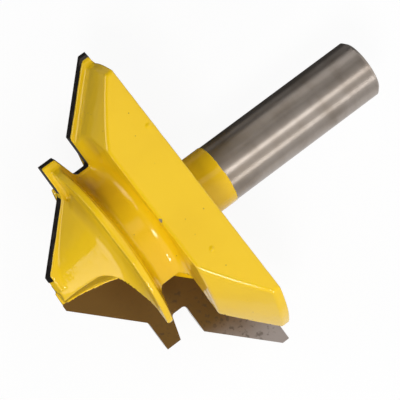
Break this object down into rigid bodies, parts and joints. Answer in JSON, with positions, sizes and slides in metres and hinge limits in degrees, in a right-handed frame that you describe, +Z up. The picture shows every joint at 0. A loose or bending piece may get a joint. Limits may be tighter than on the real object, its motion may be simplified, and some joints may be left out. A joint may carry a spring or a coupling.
{
  "type": "lock miter router bit",
  "caption": "Router bit that cuts a 45 degree miter with a glue-lock tongue and groove, with brazed carbide cutters on a painted head and a bare straight shank.",
  "frame": {"origin": "on the surface that the bit lies on, below the middle of its bounding box; the bit rests on one of the two milled flats of its head", "axes": "+X along the bit's axis, towards the end of the shank; +Z up, square to the flats; +Y towards cutter a"},
  "size_m": [0.077, 0.0686, 0.0387],
  "materials": {
    "painted_steel": "gloss yellow enamel on the head and neck",
    "bare_steel": "round-ground steel shank, bare",
    "carbide": "finely ground dark tungsten carbide"
  },
  "bodies": {
    "root": {"cutter_body": "painted_steel", "carbide_tip_a": "carbide", "carbide_tip_b": "carbide"}
  },
  "joints": []
}
